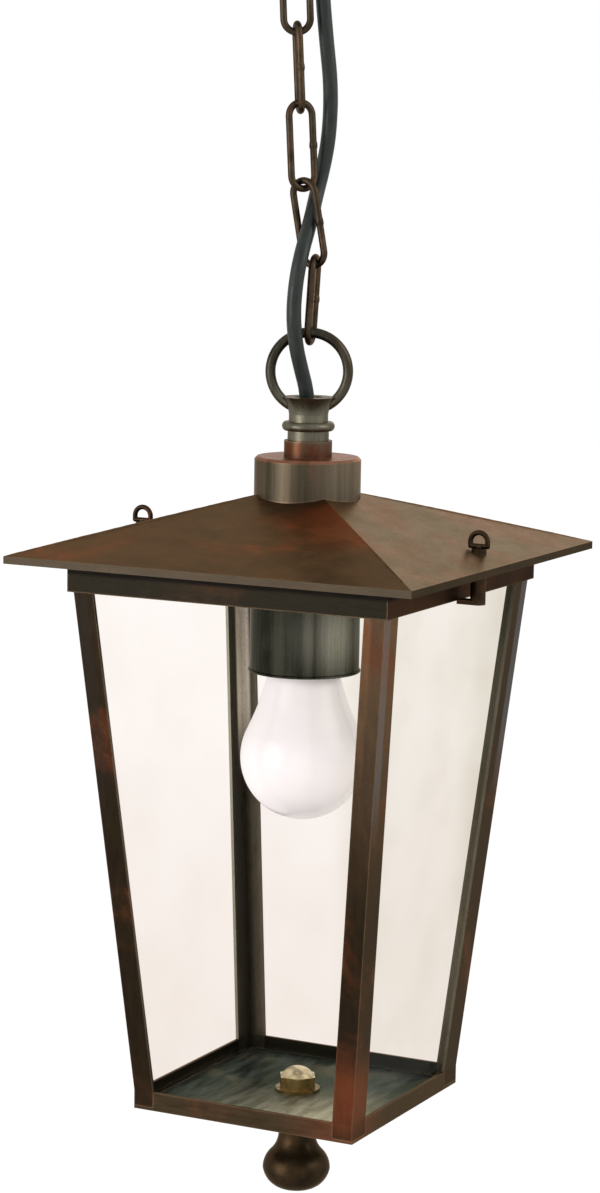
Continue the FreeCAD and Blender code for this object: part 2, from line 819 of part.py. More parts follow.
WIDE_SIDES = (size.post_leg, size.post_side_leg)
CORNERS = (
    ("front_right", -90.0, WIDE_SIDES[::-1]),
    ("back_right", 0.0, WIDE_SIDES),
    ("back_left", 90.0, WIDE_SIDES[::-1]),
    ("front_left", 180.0, WIDE_SIDES),
)
for name, angle, legs in CORNERS:
    post = doc.addObject("PartDesign::Body", f"post_{name}")
    foot = post.newObject("PartDesign::Pad", f"post_{name}_foot")
    foot.Profile = angle_section(post, f"post_{name}_sole", legs, base_half, plate_low)
    bind(foot, Length=base_high - plate_low)
    ankle_section = angle_section(post, f"post_{name}_ankle", legs, base_half, base_high)
    head_section = angle_section(post, f"post_{name}_head", legs, post_top_half, post_high)
    loft = post.newObject("PartDesign::AdditiveLoft", f"post_{name}_loft")
    loft.Profile = ankle_section
    loft.Sections = [head_section]
    loft.Ruled = True
    node(post, f"corner_post_{name}", quarter(angle))

# Glass panes: four tapered sheets that stand on the base plate behind the posts
body_taper = (post_top_half - base_half).number / (post_high - base_high).number
pane_tilt = math.degrees(math.atan(body_taper))
taper = (post_top_half - base_half) / (post_high - base_high)
pane_setback = size.post_metal + size.pane_play
pane_low = plate_high + size.thread_play
pane_high = -size.pane_top
pane_foot_half = base_half - pane_setback + (pane_low - base_high) * taper
pane_head_half = base_half - pane_setback + (pane_high - base_high) * taper
pane_length = (pane_high - pane_low) / cosine(Size(pane_tilt))
pane_edge = size.pane_thickness + 3 * size.pane_play
SIDES = (("front", 0.0), ("right", 90.0), ("back", 180.0), ("left", 270.0))
for name, angle in SIDES:
    pane = folded(
        f"pane_{name}",
        "XZ_Plane",
        [
            (-(pane_foot_half - pane_edge), NOTHING),
            (pane_foot_half - pane_edge, NOTHING),
            (pane_head_half - pane_edge, pane_length),
            (-(pane_head_half - pane_edge), pane_length),
        ],
        size.pane_thickness,
    )
    facing = turn(UP, angle)
    foot_place = facing.multVec(FreeCAD.Vector(0, -pane_foot_half.number, pane_low.number))
    lean_out = facing * turn(SIDE, pane_tilt)
    node(pane, f"glass_pane_{name}", FreeCAD.Placement(hung.Base + foot_place, lean_out))

# Pane clips: bent tabs soldered to the rails, one over the top edge of each pane
clip_high = pane_high + size.clip_metal + 2 * size.pane_play
clip_under = clip_high - size.clip_metal
clip_low = clip_high - size.clip_drop
clip_face = base_half - pane_setback + (clip_low - base_high) * taper - size.pane_thickness - size.pane_play
clip_back = clip_face - size.clip_metal
clip_sides = (-(size.clip_width / 2), size.clip_width / 2)
clips = []
for name, angle in SIDES:
    clip = fused(
        f"clip_{name}",
        block(f"clip_{name}_tab", clip_sides, (-rail_inside, -clip_back), (clip_under, clip_high)),
        block(f"clip_{name}_leg", clip_sides, (-clip_face, -clip_back), (clip_low, clip_high)),
    )
    clip.Placement = FreeCAD.Placement(FreeCAD.Vector(), turn(UP, angle))
    clips.append(clip)
node(fused("clip_set", *clips), "pane_clips", hung)

# Finial with its stud, washer and brass cap nut
washer_high = plate_high + size.washer_height
washer = cut(
    "washer_drilled",
    rod("washer_blank", size.washer_radius, plate_high, washer_high),
    rod("washer_hole", stud_hole, plate_high, washer_high),
)
node(washer, "nut_washer", hung)
dome_foot = washer_high + size.cap_nut_height
dome_top = dome_foot + size.cap_dome_height
dome_bend = bend_of(size.cap_dome_radius, size.cap_dome_height)
nut_dome = turned(
    "cap_nut_dome",
    [
        (NOTHING, dome_top, -dome_bend - size.hole_play),
        (size.cap_dome_radius, dome_foot),
        (NOTHING, dome_foot),
    ],
)
nut_hexagon = hexagon("cap_nut_hexagon", size.cap_nut_flats, washer_high, dome_foot)
nut_solid = fused("cap_nut_solid", nut_hexagon, nut_dome)
stud_top = dome_foot + size.hole_play
thread_radius = size.stud_diameter / 2
cap_nut = cut("cap_nut_bored", nut_solid, rod("cap_nut_bore", thread_radius, washer_high, stud_top))
node(cap_nut, "brass_cap_nut", hung)
stud_low = plate_low - size.stud_in_finial
stud = hung_rod("stud_rod", thread_radius - size.thread_play, stud_low, stud_top)
node(stud, "finial_stud")
collar_low = plate_low - size.finial_collar_height
neck_low = collar_low - size.finial_neck_height
shoulder = neck_low - size.finial_cove_height
belly = shoulder - size.finial_shoulder_height
finial_low = belly - size.finial_bowl_height
finial = turned(
    "finial_turning",
    [
        (thread_radius, plate_low),
        (thread_radius, stud_low),
        (NOTHING, stud_low),
        (NOTHING, finial_low),
        (size.finial_toe_radius, finial_low, size.finial_bowl_bend),
        (size.finial_radius, belly, size.finial_shoulder_bend),
        (size.finial_shoulder_radius, shoulder, -size.finial_cove_bend),
        (size.finial_neck_radius, neck_low),
        (size.finial_neck_radius, collar_low),
        (size.finial_collar_radius, collar_low),
        (size.finial_collar_radius, plate_low),
    ],
)
node(finial, "finial", hung)

# Lamp cup: a deep spun cup, mouth down, round the lampholder
cup_low = size.cup_top - size.cup_height
cup_inside = size.cup_radius - size.cup_metal
lamp_cup = turned(
    "lamp_cup_spinning",
    [
        (stem_hole, cup_ceiling),
        (stem_hole, size.cup_top),
        (size.cup_radius - size.cup_metal, size.cup_top),
        (size.cup_radius, cup_ceiling),
        (size.cup_radius, cup_low),
        (cup_inside, cup_low),
        (cup_inside, cup_ceiling),
    ],
)
node(lamp_cup, "lamp_cup", hung)

# Lampholder: a metal cap on the stem, a porcelain body, a screw shell and a centre contact
cap_wall = size.holder_cap_metal
cap_boss = size.stem_diameter / 2 + size.holder_boss_wall
holder_cap = turned(
    "holder_cap_turning",
    [
        (size.stem_diameter / 2, stem_low),
        (size.stem_diameter / 2, holder_top),
        (cap_boss, holder_top),
        (cap_boss, stem_low + cap_wall),
        (size.holder_radius, stem_low - cap_wall),
        (size.holder_radius, holder_seat),
        (size.holder_radius - cap_wall, holder_seat),
        (size.holder_radius - cap_wall, stem_low - 2 * cap_wall),
        (cap_boss, stem_low),
    ],
)
node(holder_cap, "holder_cap", hung)
holder_low = holder_seat - size.holder_height
socket_ceiling = holder_seat - size.socket_roof
holder = cut(
    "holder_bored",
    rod("holder_blank", size.holder_radius, holder_low, holder_seat),
    rod("holder_socket", size.socket_radius, holder_low, socket_ceiling),
)
node(holder, "lampholder", hung)
shell_radius = size.socket_radius - size.thread_play
shell_low = socket_ceiling - size.shell_length
shell = cut(
    "shell_bored",
    rod("shell_blank", shell_radius, shell_low, socket_ceiling),
    rod("shell_inside", shell_radius - size.shell_metal, shell_low, socket_ceiling),
)
node(shell, "screw_shell", hung)
contact_low = socket_ceiling - size.contact_height
node(hung_rod("contact_button", size.contact_radius, contact_low, socket_ceiling), "centre_contact")

# Bulb: one sealed opal lamp, pear shaped, with its screw cap
bulb_top = contact_low - size.thread_play
bulb_low = bulb_top - size.bulb_length
bulb_middle = bulb_low + size.bulb_radius
cap_low = bulb_top - size.bulb_cap_length
cap_cone = bulb_top - size.bulb_tip_height
bulb_shoulder = bulb_middle + size.bulb_shoulder_rise
bulb = turned(
    "bulb_envelope",
    [
        (NOTHING, bulb_low, size.bulb_radius),
        (size.bulb_radius, bulb_middle, size.bulb_radius),
        (size.bulb_shoulder_radius, bulb_shoulder, -size.bulb_neck_bend),
        (size.bulb_neck_radius, cap_low),
        (size.bulb_cap_radius, cap_low),
        (size.bulb_cap_radius, cap_cone),
        (size.bulb_tip_radius, bulb_top),
        (NOTHING, bulb_top),
    ],
)
node(bulb, "bulb", hung)

# Roof latches: a wire handle on a stem through the eave, with a foot that turns under the rail
handle_half = size.latch_handle_width / 2
handle_bend = handle_half - size.latch_wire / 2
roof_at_latch = roof_height(latch_reach)
bar_height = roof_height(latch_reach - handle_half) + size.latch_play + size.latch_wire / 2
arch_height = bar_height + size.latch_handle_rise
foot_high = latch_low
foot_low = foot_high - size.latch_foot_height
boss_high = shelf_low - size.latch_play
foot_tip = -(latch_reach - rail_half + size.latch_foot_grip)
foot_half_width = size.latch_foot_width / 2
bush_top = bar_height - size.latch_wire / 2 - size.thread_play
for name, x, facing in (("right", latch_reach, 0.0), ("left", -latch_reach, 180.0)):
    arch = bent_wire(f"latch_{name}_arch", handle_bend, size.latch_wire / 2, arch_height, 180.0)
    bar = doc.addObject("Part::Cylinder", f"latch_{name}_bar")
    bind(bar, Radius=size.latch_wire / 2, Height=2 * handle_bend)
    put(bar, x=-handle_bend, z=bar_height)
    bar.Placement.Rotation = turn(FreeCAD.Vector(0, 1, 0), 90)
    corners = []
    for side, along in (("inner", -handle_bend), ("outer", handle_bend)):
        ball = doc.addObject("Part::Sphere", f"latch_{name}_{side}_corner")
        bind(ball, Radius=size.latch_wire / 2)
        put(ball, x=along, z=bar_height)
        corners.append(ball)
        corners.append(
            rod(f"latch_{name}_{side}_leg", size.latch_wire / 2, bar_height, arch_height, along)
        )
    latch = fused(
        f"latch_{name}_solid",
        arch,
        bar,
        *corners,
        rod(f"latch_{name}_stem", size.latch_stem / 2, foot_low, bar_height),
        rod(f"latch_{name}_boss", size.latch_boss_radius, foot_low, boss_high),
        block(
            f"latch_{name}_foot",
            (foot_tip, size.latch_stem / 2),
            (-foot_half_width, foot_half_width),
            (foot_low, foot_high),
        ),
    )
    at_latch = FreeCAD.Vector(x.number, 0, 0)
    node(latch, f"roof_latch_{name}", FreeCAD.Placement(hung.Base + at_latch, turn(UP, facing)))
    bush = cut(
        f"bush_{name}_fitted",
        rod(f"bush_{name}_blank", size.bush_radius, roof_at_latch - size.bush_height, bush_top, x),
        rod(f"bush_{name}_bore", size.latch_stem / 2 + size.hole_play, lip_low, bush_top, x),
        roof_block(f"bush_{name}_seat"),
        square(f"bush_{name}_lip_seat", eave_half, lip_low, eave_high),
    )
    node(bush, f"latch_bush_{name}", hung)

doc.recompute()
failed = [thing.Name for thing in doc.Objects if "Invalid" in thing.State or "Error" in thing.State]
if failed:
    raise RuntimeError(f"these pieces failed to build: {failed}")
for thing in nodes:
    if thing.Shape.isNull() or not thing.Shape.isValid() or not thing.Shape.Solids:
        raise RuntimeError(f"{thing.Label} has no sound shape")

os.makedirs("parts", exist_ok=True)
for thing in nodes:
    thing.Shape.exportStep(f"parts/{thing.Label}.step")

for number, (place, axis) in enumerate(pivots, start=1):
    print(f"pivot {number} at {tuple(round(v, 4) for v in place)} along {tuple(round(v, 6) for v in axis)}")
print(f"lantern hung at {tuple(round(v, 4) for v in hung.Base)}")
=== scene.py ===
import math

import bmesh
import bpy
import numpy as np
from mathutils import Matrix, Vector


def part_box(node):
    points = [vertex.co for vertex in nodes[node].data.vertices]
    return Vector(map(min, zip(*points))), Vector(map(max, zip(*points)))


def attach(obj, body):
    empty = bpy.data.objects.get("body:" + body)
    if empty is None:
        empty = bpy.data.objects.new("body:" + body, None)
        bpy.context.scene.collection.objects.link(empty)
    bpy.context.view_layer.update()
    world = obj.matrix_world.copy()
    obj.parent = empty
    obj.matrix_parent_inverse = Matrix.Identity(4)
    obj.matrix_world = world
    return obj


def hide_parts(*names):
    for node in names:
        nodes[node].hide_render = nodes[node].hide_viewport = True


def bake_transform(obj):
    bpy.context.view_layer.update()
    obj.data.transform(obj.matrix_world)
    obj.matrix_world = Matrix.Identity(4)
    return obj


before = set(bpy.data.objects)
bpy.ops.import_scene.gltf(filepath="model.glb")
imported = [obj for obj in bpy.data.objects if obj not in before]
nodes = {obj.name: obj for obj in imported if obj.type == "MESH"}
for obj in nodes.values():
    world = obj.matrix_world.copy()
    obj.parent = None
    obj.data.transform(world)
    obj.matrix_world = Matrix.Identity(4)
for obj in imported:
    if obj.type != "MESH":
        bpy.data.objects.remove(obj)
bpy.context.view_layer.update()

scene = bpy.context.scene

# Ceiling bracket with its lock nuts
# A strip of zinc-plated steel bent down in the middle, held to the ceiling by two screws. The
# loop's threaded shank goes through the bridge, between one nut above it and one below.


class Shade:
    """One value of a finish. Sums on it add Math nodes, and node() adds any other kind."""

    def __init__(self, tree, socket=None):
        self.tree = tree
        self.socket = socket

    def node(self, kind, settings, sockets, output=0):
        """One output of a new node with its settings and what goes into its sockets."""
        made = self.tree.nodes.new("ShaderNode" + kind)
        for name, value in settings.items():
            setattr(made, name, value)
        for name, value in sockets.items():
            self.feed(made.inputs[name], value)
        return Shade(self.tree, made.outputs[output])

    def feed(self, socket, value):
        """Links a Shade to a socket, or sets a plain value there."""
        if isinstance(value, Shade):
            self.tree.links.new(value.socket, socket)
        else:
            socket.default_value = value

    def sum(self, operation, first, second=0.0):
        return self.node("Math", {"operation": operation}, {0: first, 1: second})

    def __add__(self, other):
        return self.sum("ADD", self, other)

    def __sub__(self, other):
        return self.sum("SUBTRACT", self, other)

    def __rsub__(self, other):
        return self.sum("SUBTRACT", other, self)

    def __mul__(self, other):
        return self.sum("MULTIPLY", self, other)

    def __neg__(self):
        return 0.0 - self

    def __abs__(self):
        return self.sum("ABSOLUTE", self)

    __radd__ = __add__
    __rmul__ = __mul__

    def least(self, other):
        """The smaller of two values."""
        return self.sum("MINIMUM", self, other)

    def between(self, low, high):
        """0 below low, 1 above high, and smooth between them."""
        limits = {"Value": self, "From Min": low, "From Max": high}
        return self.node("MapRange", {"interpolation_type": "SMOOTHSTEP"}, limits)

    def mix(self, first, second):
        """The first colour where this is 0, the second where it is 1."""
        factor, colour_a, colour_b, colour_out = 0, 6, 7, 2  # of the sockets that share a name
        sockets = {factor: self, colour_a: first, colour_b: second}
        return self.node("Mix", {"data_type": "RGBA"}, sockets, output=colour_out)

    def place(self):
        """Where a point is, in metres in the lantern's frame."""
        return self.node("TexCoord", {}, {}, output="Object")

    def facing(self):
        """The way that the surface faces there."""
        return self.node("TexCoord", {}, {}, output="Normal")

    def vectors(self, operation, other, output="Vector"):
        """This place or way and another, put through Vector Math."""
        return self.node("VectorMath", {"operation": operation}, {0: self, 1: other}, output)

    def part(self, axis):
        """One coordinate of a place or way."""
        return self.node("SeparateXYZ", {}, {0: self}, output="XYZ".index(axis))

    def noise(self, scale, detail=3.0, roughness=0.55, distortion=0.0):
        """Soft noise from 0 to 1 over this place."""
        sockets = {"Vector": self, "Scale": scale, "Detail": detail}
        sockets.update({"Roughness": roughness, "Distortion": distortion})
        return self.node("TexNoise", {}, sockets)


def paint(red, green, blue):
    """A colour as it looks on paper, 0 to 255, made linear."""
    linear = []
    for value in (red, green, blue):
        share = value / 255
        linear.append(share / 12.92 if share <= 0.04045 else ((share + 0.055) / 1.055) ** 2.4)
    return (*linear, 1.0)


def new_finish(name, **constants):
    """A material, the start of its sums, and its shader with the values that are even all over."""
    material = bpy.data.materials.new(name)
    material.use_nodes = True
    shader = material.node_tree.nodes["Principled BSDF"]
    for label, value in constants.items():
        shader.inputs[label.replace("_", " ")].default_value = value
    return material, Shade(material.node_tree), shader


def relief(shader, height, strength, depth=0.0002):
    """Gives a shader the fine unevenness of its surface, depth metres from low to high."""
    sockets = {"Strength": strength, "Distance": depth, "Height": height}
    height.feed(shader.inputs["Normal"], height.node("Bump", {}, sockets))


def dress(finish, *names):
    """Puts a finish on CAD pieces."""
    for name in names:
        nodes[name].data.materials.clear()
        nodes[name].data.materials.append(finish)


def zinc_plate(name):
    """Zinc-plated steel: pale grey with faint cloudy spangle and fine rolling lines."""
    material, start, shader = new_finish(name, Metallic=0.9)
    place = start.place()
    cloud = place.noise(160.0, detail=4.0)
    stretched = place.node("Mapping", {}, {"Vector": place, "Scale": (40.0, 900.0, 900.0)})
    lines = stretched.noise(1.0, detail=2.0)
    colour = cloud.between(0.35, 0.65).mix(paint(138, 138, 134), paint(176, 175, 170))
    start.feed(shader.inputs["Base Color"], colour)
    start.feed(shader.inputs["Roughness"], 0.3 + 0.18 * cloud)
    relief(shader, lines, strength=0.15)
    return material


zinc = zinc_plate("zinc_plated_steel")
dress(zinc, "ceiling_bracket", "loop_lock_nuts")

# Terminal block
# A small moulded block of white plastic under the bracket's bridge, where the cable's cores end.
terminal_finish, start, shader = new_finish("terminal_moulding", Roughness=0.45)
place = start.place()
speckle = place.noise(700.0, detail=2.0)
yellowing = place.noise(60.0).between(0.4, 0.7)
start.feed(shader.inputs["Base Color"], yellowing.mix(paint(226, 224, 214), paint(214, 208, 190)))
relief(shader, speckle, strength=0.1)
dress(terminal_finish, "terminal_block")

# Ceiling canopy
# A spun cup of thin brass sheet with an aged brown finish. It covers the bracket and is held up
# by the collar of the loop, and its rim is rolled where it meets the ceiling.

# the lantern's upright axis
neck_low, neck_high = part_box("neck_drum")
axis_x = (neck_low.x + neck_high.x) / 2
axis_y = (neck_low.y + neck_high.y) / 2

# sizes of the patina's patterns, in turns to the metre, and how far in an edge is worn bright
# and painted with a highlight
STREAK_SCALE = 110.0
HAIR_SCALE = 620.0
GRAIN_SCALE = 1400.0
MOTTLE_SCALE = 24.0
WORN_HIGHLIT_EDGE = 0.0012


def copper_beside_hip(worn, spot, patches, streaks, hairs):
    """Adds a ragged copper band on the slope left of the front hip, gone towards the eave."""
    past_hip = spot.part("X") + spot.part("Y") - (axis_x + axis_y)
    forward = spot.part("X") - spot.part("Y") - (axis_x - axis_y)
    ragged = past_hip + (patches + streaks - 1.0) * 0.012
    band = ragged.between(-0.06, -0.02) * (1 - ragged.between(-0.004, 0.02))
    high_up = forward.between(0.03, 0.06) * (1 - forward.between(0.085, 0.15))
    worn = worn + band * high_up * (0.35 + 0.4 * hairs)
    return worn * (1 - 0.8 * forward.between(0.12, 0.17))


def lip_colours(colour, facing, streaks, front, side):
    """Paints shade on the upright faces: darker on most, less dark in front, where light falls."""
    tilt = facing.part("Z")
    upright = 1 - (tilt * tilt).between(0.04, 0.2)
    in_front = (-facing.part("Y")).between(0.5, 0.8)
    colour = (upright * (0.85 + 0.15 * streaks)).mix(colour, side)
    return (upright * in_front * (0.7 + 0.3 * streaks)).mix(colour, front)


# the reflection painted in a corner starts at the first drop below its head and is full at the
# second, and it is full up to the first width from the corner and gone at the second
REFLECTION_DROPS = (0.125, 0.08)
REFLECTION_WIDTHS = (0.0055, 0.0075)


def lamp_side(colour, spot, facing, streaks, inner, corner_reflection=None):
    """Paints light and shade on faces to the lamp. Its second result is 1 in a painted reflection.
    """
    from_axis = spot.vectors("SUBTRACT", (axis_x, axis_y, 0.0))
    level_way = facing.vectors("MULTIPLY", (1.0, 1.0, 0.0))
    outward = from_axis.vectors("DOT_PRODUCT", level_way, "Value")
    reflection_share = None
    if corner_reflection:
        foot_half, foot_height, head_half, head_height, reflection_colour = corner_reflection
        lean = (head_half - foot_half) / (head_height - foot_height)
        corner_half = (spot.part("Z") - foot_height) * lean + foot_half
        from_corner = corner_half - abs(from_axis.part("X")).least(abs(from_axis.part("Y")))
        reflection_share = spot.part("Z").between(*(head_height - drop for drop in REFLECTION_DROPS))
        reflection_share = reflection_share * (1 - from_corner.between(*REFLECTION_WIDTHS)) * (0.85 + 0.15 * streaks)
        inner = reflection_share.mix(inner, reflection_colour)
    return outward.between(-0.01, -0.002).mix(inner, colour), reflection_share


def aged_metal(
    name,
    deep,
    body,
    rub,
    worn_edge_highlight=paint(150, 122, 92),
    rubbed=0.5,
    bright=0.5,
    rough=0.5,
    metal=0.85,
    sheen=(0.62, 0.55, 0.48, 1.0),
    patch=18.0,
    brushed=(1.0, 1.0, 1.0),
    contrast=0.5,
    drift=(0.0, 0.0, 0.0),
    inside=None,
    right_face_light=None,
    lip=None,
    eave_shadow=None,
    pale=(),
    copper=None,
    copper_hip=False,
    corner_reflection=None,
):
    """Brown aged brass: brushed, dark in its hollows, copper red in patches, bright at its edges.

    deep, body, rub and shine are its colours, rubbed the share of the copper patches and bright
    that of the edges, which are worn bright and painted with a highlight in the colour shine, and
    sheen the colour of its glancing reflections. brushed squeezes the streaks along an axis, and
    drift shifts the pattern from one piece to the next.
    inside is the colour painted on faces towards the lamp for the light and shade that they get
    there, faded two colours painted on faces to the right, lighter where light falls on them, and
    lip those painted on the upright faces in front, lighter, and elsewhere, darker as shade. soot
    is two heights and the colour of the shadow painted past the second. pale lists painted
    highlights: places, each with a reach and the lighter colour round it. copper is two heights,
    with bare copper beyond the second, and copper_hip a copper band by the front hip.
    corner_reflection is a leaning corner's foot and head, each as its distance out and its height,
    and the colour of the reflection painted up it.
    """
    material, start, shader = new_finish(
        name, Metallic=metal, Specular_IOR_Level=0.2, Specular_Tint=sheen
    )
    spot, facing = start.place(), start.facing()
    place = start.node("Mapping", {}, {"Vector": spot, "Location": drift})
    along = start.node("Mapping", {}, {"Vector": place, "Scale": brushed})
    patches = place.noise(patch, detail=5.0, roughness=0.6, distortion=0.4).between(0.46, 0.7)
    streaks = along.noise(STREAK_SCALE, detail=5.0, roughness=0.6)
    streaks = streaks.between(0.5 - contrast / 2, 0.5 + contrast / 2)
    hairs = along.noise(HAIR_SCALE, detail=3.0)
    grain = place.noise(GRAIN_SCALE, detail=2.0)
    soft_edge = start.node("Bevel", {"samples": 4}, {"Radius": WORN_HIGHLIT_EDGE})
    face = start.node("NewGeometry", {}, {}, output="Normal")
    flatness = soft_edge.vectors("DOT_PRODUCT", face, "Value")
    edge = (1 - flatness).between(0.02, 0.22) * (0.3 + 0.7 * streaks)
    worn = patches * 0.8 * rubbed
    if copper:
        worn = worn + spot.part("Z").between(*copper) * (0.35 + 0.5 * streaks)
    if copper_hip:
        worn = copper_beside_hip(worn, spot, patches, streaks, hairs)
    colour = streaks.mix(deep, body)
    # faces to the right are painted lighter, as light falls on them, with fainter copper patches
    if right_face_light:
        to_right = facing.part("X").between(0.1, 0.3)
        mottle = place.noise(MOTTLE_SCALE, detail=4.0, roughness=0.6).between(0.38, 0.62)
        colour = (to_right * (0.75 + 0.25 * hairs)).mix(colour, mottle.mix(*right_face_light))
        worn = worn * (1 - 0.7 * to_right)
    # painted highlights: each place is painted lighter round it
    for middle, reach, lighter in pale:
        away = spot.vectors("DISTANCE", middle, "Value")
        near = (1 - away.between(0.0, reach)) * (0.6 + 0.4 * streaks)
        colour = near.mix(colour, lighter)
    colour = worn.between(0.0, 1.0).mix(colour, rub)
    # the edges are worn bright and are also painted with a highlight
    colour = (edge * bright).mix(colour, worn_edge_highlight)
    if lip:
        colour = lip_colours(colour, facing, streaks, *lip)
    # a band at the top, under the eave, is painted dark as the eave's shadow
    if eave_shadow:
        unshaded_height, shadow_height, shadow_colour = eave_shadow
        colour = spot.part("Z").between(unshaded_height, shadow_height).mix(colour, shadow_colour)
    # faces towards the lamp are painted with the light and shade that they get inside the lantern
    if inside:
        inner = (0.6 + 0.4 * streaks).mix(deep, inside)
        colour, reflection_share = lamp_side(colour, spot, facing, streaks, inner, corner_reflection)
        # where the corner's reflection is painted the surface is made mostly non-metal, so the
        # colour shows
        if reflection_share:
            start.feed(shader.inputs["Metallic"], metal * (1 - 0.9 * reflection_share))
    pits = grain.between(0.55, 0.72) * 0.3 + hairs.between(0.5, 0.75) * 0.2
    start.feed(shader.inputs["Base Color"], pits.mix(colour, deep))
    matt = rough - 0.12 + 0.14 * streaks + 0.1 * hairs - 0.06 * edge
    start.feed(shader.inputs["Roughness"], matt)
    relief(shader, streaks * 0.4 + hairs * 0.3 + grain * 0.3, strength=0.25, depth=0.0003)
    return material


canopy_finish = aged_metal(
    "canopy_patina",
    paint(58, 45, 29),
    paint(92, 70, 46),
    paint(126, 68, 40),
    brushed=(0.6, 0.6, 3.0),
    drift=(0.3, 0.1, 0.0),
)
dress(canopy_finish, "ceiling_canopy")


def lathed(name, profile, steps=96, centre=(0.0, 0.0)):
    """A turned piece: profile points are radius and height, closed on themselves."""
    mesh = bpy.data.meshes.new(name)
    shape = bmesh.new()
    rings = []
    for step in range(steps):
        angle = 2 * math.pi * step / steps
        way_x, way_y = math.cos(angle), math.sin(angle)
        ring = [(centre[0] + r * way_x, centre[1] + r * way_y, z) for r, z in profile]
        rings.append([shape.verts.new(point) for point in ring])
    count = len(profile)
    for step in range(steps):
        here, there = rings[step], rings[(step + 1) % steps]
        for index in range(count):
            after = (index + 1) % count
            face = shape.faces.new((here[index], there[index], there[after], here[after]))
            face.smooth = True
    bmesh.ops.recalc_face_normals(shape, faces=shape.faces)
    shape.to_mesh(mesh)
    shape.free()
    piece = bpy.data.objects.new(name, mesh)
    scene.collection.objects.link(piece)
    return piece


def circle_profile(radius, height, wire, steps=14):
    """Points round a bead of round section."""
    turns = [2 * math.pi * step / steps for step in range(steps)]
    return [(radius + wire * math.cos(turn), height + wire * math.sin(turn)) for turn in turns]


canopy_low, canopy_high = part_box("ceiling_canopy")
canopy_radius = (canopy_high.x - canopy_low.x) / 2
CANOPY_RIM_WIRE = 0.0011
canopy_bead = circle_profile(canopy_radius, -CANOPY_RIM_WIRE, CANOPY_RIM_WIRE)
canopy_rim = lathed("canopy_rolled_rim", canopy_bead)
canopy_rim.data.materials.append(canopy_finish)
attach(canopy_rim, "ceiling")

# Ceiling loop and chain
# Five oval links of round wire, bent and butt welded, and the welded eye that they hang from.
# The brown finish has worn to bare dark metal where the links bear on each other.
chain_finish = aged_metal(
    "chain_patina",
    paint(44, 37, 29),
    paint(78, 67, 53),
    paint(108, 80, 59),
    rubbed=0.5,
    rough=0.42,
    patch=60.0,
    drift=(0.0, 0.2, 0.4),
)
links = [f"chain_link_{number}" for number in range(1, 6)]
dress(chain_finish, "ceiling_loop", *links)

# the spacing of the rings of a run of solder, and the sides of each
RUN_STEP = 0.0006
RUN_SIDES = 12


def solder_tree():
    """Geometry nodes that lay a lumpy round run of solder or weld along every edge of a mesh."""
    tree = bpy.data.node_groups.new("solder_run", "GeometryNodeTree")
    sizes = (
        ("Thickness", "NodeSocketFloat"),
        ("End Rounding", "NodeSocketFloat"),
        ("Lumps", "NodeSocketFloat"),
        ("Lump Scale", "NodeSocketFloat"),
        ("Seed", "NodeSocketFloat"),
        ("Finish", "NodeSocketMaterial"),
    )
    tree.interface.new_socket("Lines", in_out="INPUT", socket_type="NodeSocketGeometry")
    for label, kind in sizes:
        tree.interface.new_socket(label, in_out="INPUT", socket_type=kind)
    tree.interface.new_socket("Run", in_out="OUTPUT", socket_type="NodeSocketGeometry")

    def add(kind, settings=None, sockets=None):
        made = tree.nodes.new(kind)
        for label, value in (settings or {}).items():
            setattr(made, label, value)
        for label, value in (sockets or {}).items():
            if isinstance(value, bpy.types.NodeSocket):
                tree.links.new(value, made.inputs[label])
            else:
                made.inputs[label].default_value = value
        return made

    def maths(operation, first, second):
        return add("ShaderNodeMath", {"operation": operation}, {0: first, 1: second}).outputs[0]

    given = add("NodeGroupInput").outputs
    line = add("GeometryNodeMeshToCurve", None, {"Mesh": given["Lines"]})
    spacing = {"Curve": line.outputs[0], "Length": RUN_STEP}
    fine = add("GeometryNodeResampleCurve", {"mode": "LENGTH"}, spacing)
    along = add("GeometryNodeSplineParameter").outputs["Factor"]
    from_middle = maths("ABSOLUTE", maths("SUBTRACT", maths("MULTIPLY", along, 2.0), 1.0), 0.0)
    taper = maths("MULTIPLY", maths("POWER", from_middle, 3.0), given["End Rounding"])
    width = maths("MULTIPLY", maths("SUBTRACT", 1.0, taper), given["Thickness"])
    ring = add("GeometryNodeCurvePrimitiveCircle", None, {"Resolution": RUN_SIDES, "Radius": 1.0})
    swept = {"Curve": fine.outputs[0], "Profile Curve": ring.outputs[0]}
    swept.update({"Scale": width, "Fill Caps": True})
    tube = add("GeometryNodeCurveToMesh", None, swept)
    uneven = {"W": given["Seed"], "Scale": given["Lump Scale"], "Detail": 2.0}
    noise = add("ShaderNodeTexNoise", {"noise_dimensions": "4D"}, uneven)
    swell = maths("MULTIPLY", maths("SUBTRACT", noise.outputs[0], 0.5), given["Lumps"])
    scaled = {0: add("GeometryNodeInputNormal").outputs[0], "Scale": swell}
    outward = add("ShaderNodeVectorMath", {"operation": "SCALE"}, scaled)
    shift = {"Geometry": tube.outputs[0], "Offset": outward.outputs[0]}
    moved = add("GeometryNodeSetPosition", None, shift)
    smooth = add("GeometryNodeSetShadeSmooth", None, {"Geometry": moved.outputs[0]})
    real = add("GeometryNodeRealizeInstances", None, {"Geometry": smooth.outputs[0]})
    coat = {"Geometry": real.outputs[0], "Material": given["Finish"]}
    coated = add("GeometryNodeSetMaterial", None, coat)
    add("NodeGroupOutput", None, {"Run": coated.outputs[0]})
    return tree


solder_run = solder_tree()


